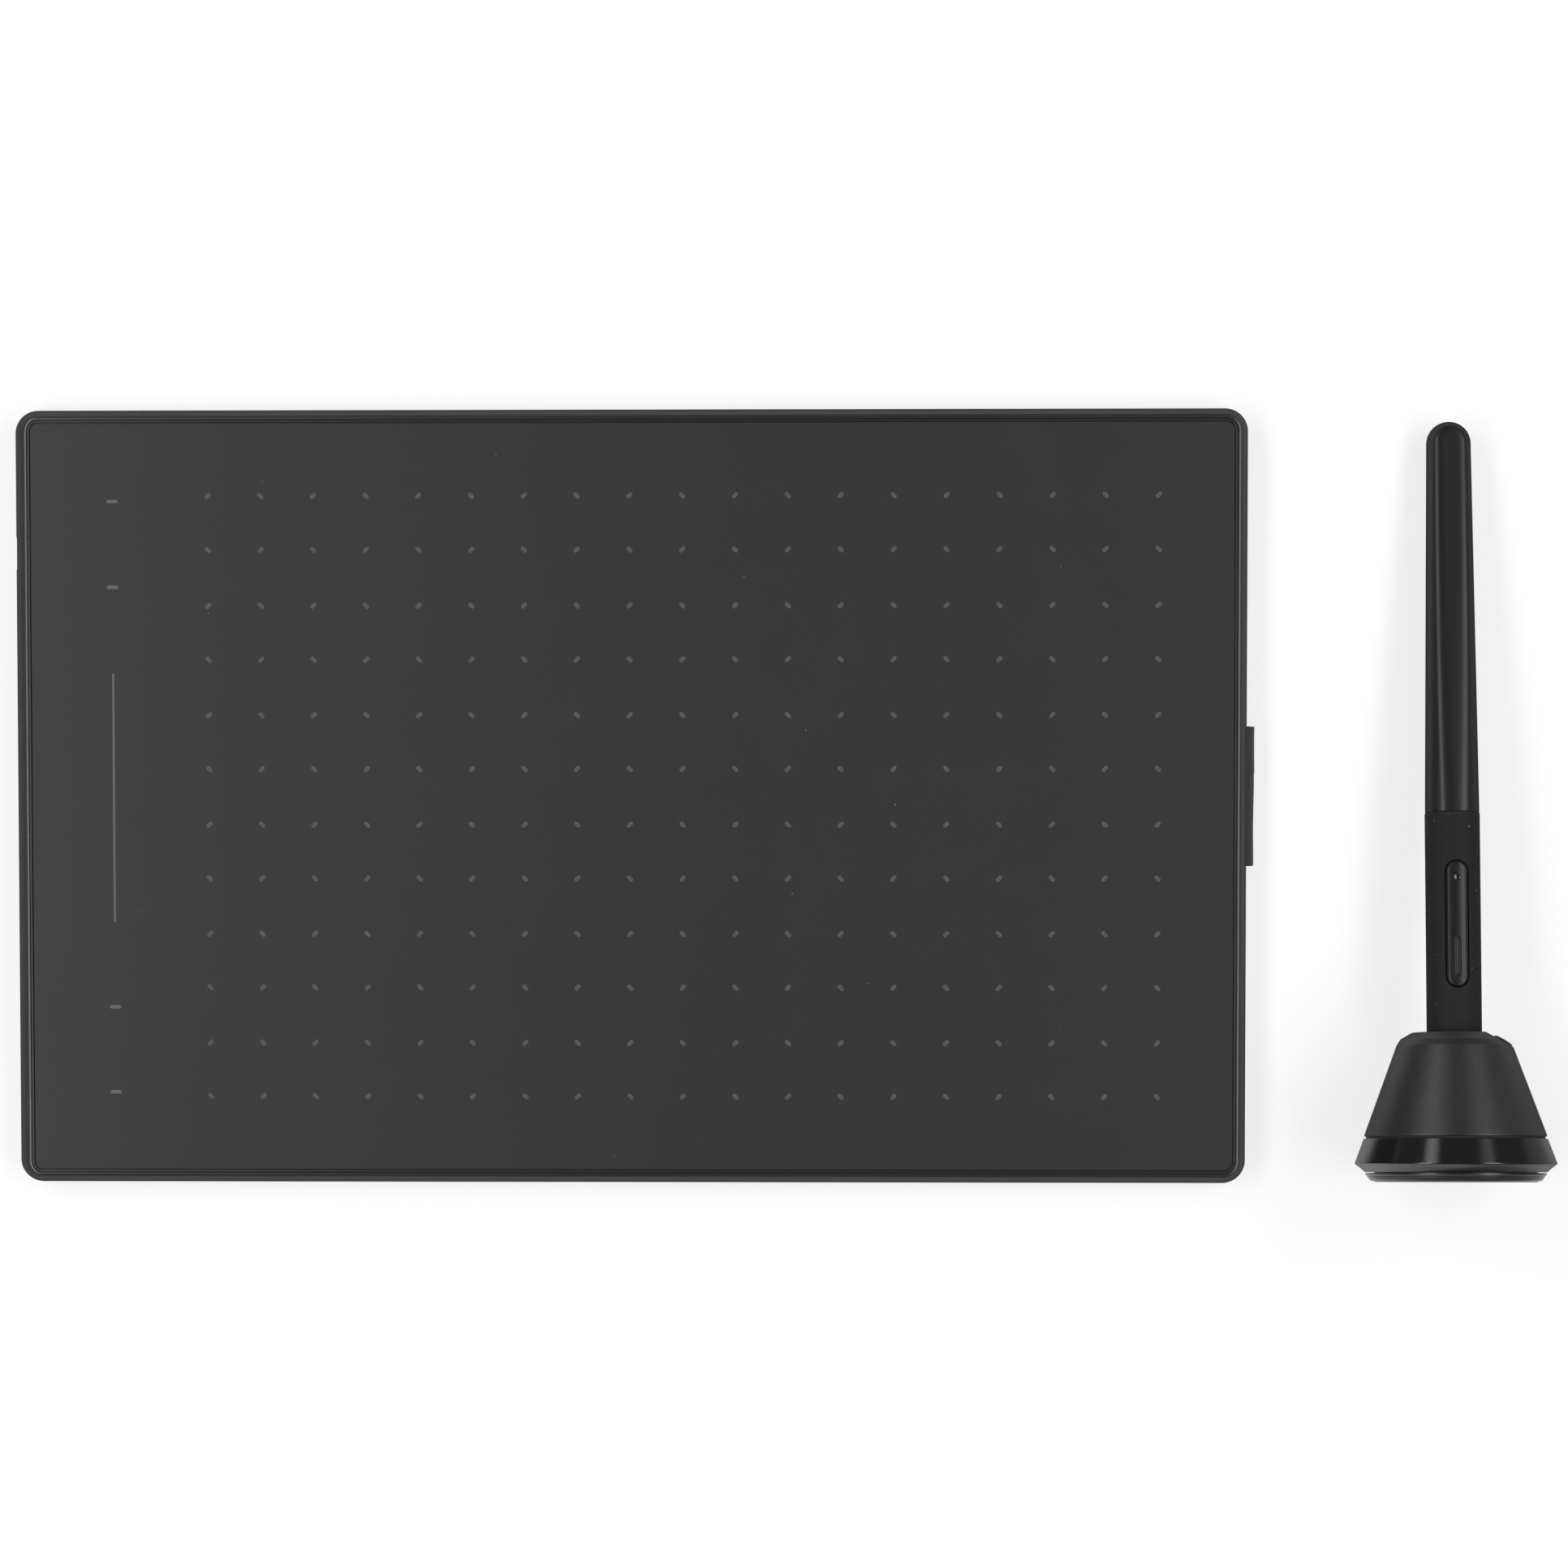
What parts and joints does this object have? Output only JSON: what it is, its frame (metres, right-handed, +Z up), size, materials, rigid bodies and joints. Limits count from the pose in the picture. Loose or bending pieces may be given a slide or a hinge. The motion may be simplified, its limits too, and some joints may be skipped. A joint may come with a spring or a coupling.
{
  "type": "graphics tablet",
  "caption": "Thin pen tablet with marked drawing area, touch keys and pen loop, lying beside its battery-free pen in a round stand that stores spare nibs.",
  "frame": {"origin": "centre of the underside of the box round the whole set, on the desk", "axes": "+X along the tablet's length towards the pen, +Y towards the tablet's back edge and the pen's tail, +Z up out of the drawing surface"},
  "size_m": [0.3566, 0.1806, 0.0453],
  "materials": {
    "housing_plastic": "fine moulded texture, satin on the rim",
    "surface_film": "matte drawing film with a fine tooth",
    "foot_rubber": "matte",
    "screw_steel": "blackened",
    "board_green": "solder mask",
    "chip_black": "moulded chip body",
    "shield_metal": "bare sheet",
    "foam_grey": "open foam",
    "socket_steel": "drawn shell",
    "key_plastic": "natural moulding",
    "flex_amber": "flexible circuit film",
    "loop_fabric": "woven elastic ribbon",
    "grip_silicone": "soft matte silicone",
    "barrel_plastic": "satin",
    "nib_plastic": "hard acetal",
    "ferrite": "sintered",
    "copper_wire": "enamelled wire",
    "cone_plastic": "fine spark texture",
    "ring_gloss": "high gloss",
    "base_plastic": "satin",
    "weight_steel": "zinc plated",
    "seal_rubber": "matte"
  },
  "bodies": {
    "tablet": {"board_passives": "chip_black", "board_screws": "screw_steel", "bottom_cover": "housing_plastic", "controller_chip": "chip_black", "driver_chips": "chip_black", "housing_screws": "screw_steel", "key_dome_1": "socket_steel", "key_dome_2": "socket_steel", "key_dome_3": "socket_steel", "key_dome_4": "socket_steel", "loop_anchor": "housing_plastic", "main_board": "board_green", "pen_loop": "loop_fabric", "ribbon_sockets": "chip_black", "rubber_foot_1": "foot_rubber", "rubber_foot_2": "foot_rubber", "rubber_foot_3": "foot_rubber", "rubber_foot_4": "foot_rubber", "sensor_board": "board_green", "sensor_ribbon": "flex_amber", "shield_plate": "shield_metal", "socket_shell": "socket_steel", "socket_tongue": "chip_black", "strip_connector": "chip_black", "support_foam": "foam_grey", "surface_film": "surface_film", "timing_crystal": "shield_metal", "top_housing": "housing_plastic", "touch_strip_sensor": "flex_amber"},
    "key_1": {"key_plunger_1": "key_plastic"},
    "key_2": {"key_plunger_2": "key_plastic"},
    "key_3": {"key_plunger_3": "key_plastic"},
    "key_4": {"key_plunger_4": "key_plastic"},
    "pen": {"pen_barrel": "barrel_plastic", "pen_front_tube": "barrel_plastic", "pen_grip": "grip_silicone", "pen_nose": "barrel_plastic", "pen_board": "board_green", "side_switches": "chip_black", "coil_winding": "copper_wire", "ferrite_core": "ferrite", "pressure_module": "chip_black", "rocker_pin": "socket_steel"},
    "rocker": {"rocker_button": "barrel_plastic"},
    "nib": {"pen_nib": "nib_plastic", "nib_holder": "key_plastic"},
    "stand_top": {"stand_cone": "cone_plastic", "socket_liner": "seal_rubber", "nib_puller": "socket_steel"},
    "washer": {"seal_washer": "seal_rubber"},
    "stand_base": {"stand_ring": "ring_gloss", "stand_floor": "base_plastic", "stand_foot_pad": "foot_rubber", "stand_weight": "weight_steel", "nib_tray": "base_plastic", "spare_nibs": "nib_plastic"}
  },
  "joints": [
    {"name": "pen_set_lift", "type": "slide", "parent": "tablet", "child": "pen", "axis": [0, 0, 1], "range_m": [0, 0.12]},
    {"name": "stand_pull", "type": "slide", "parent": "pen", "child": "stand_top", "axis": [0, -0.9944, 0.1056], "range_m": [0, 0.03]},
    {"name": "base_pull", "type": "slide", "parent": "stand_top", "child": "washer", "axis": [0, -0.9944, 0.1056], "range_m": [0, 0.028]},
    {"name": "base_twist", "type": "hinge", "parent": "washer", "child": "stand_base", "pos_m": [0.1555, -0.08801, 0.02315], "axis": [0, 0.9944, -0.1056], "range_deg": [0, 40]},
    {"name": "rocker_tilt", "type": "hinge", "parent": "pen", "child": "rocker", "pos_m": [0.1555, -0.02904, 0.0199], "axis": [1, 0, 0], "range_deg": [-1.3, 1.3], "stiffness_Nm_per_rad": 0.25},
    {"name": "nib_press", "type": "slide", "parent": "pen", "child": "nib", "axis": [0, 0.9944, -0.1056], "range_m": [0, 0.0004], "stiffness_N_per_m": 1500, "springref_m": -0.00005},
    {"name": "key_press_1", "type": "slide", "parent": "tablet", "child": "key_1", "axis": [0, 0, -1], "range_m": [0, 0.00025], "stiffness_N_per_m": 2000, "springref_m": -0.00005},
    {"name": "key_press_2", "type": "slide", "parent": "tablet", "child": "key_2", "axis": [0, 0, -1], "range_m": [0, 0.00025], "stiffness_N_per_m": 2000, "springref_m": -0.00005},
    {"name": "key_press_3", "type": "slide", "parent": "tablet", "child": "key_3", "axis": [0, 0, -1], "range_m": [0, 0.00025], "stiffness_N_per_m": 2000, "springref_m": -0.00005},
    {"name": "key_press_4", "type": "slide", "parent": "tablet", "child": "key_4", "axis": [0, 0, -1], "range_m": [0, 0.00025], "stiffness_N_per_m": 2000, "springref_m": -0.00005}
  ]
}
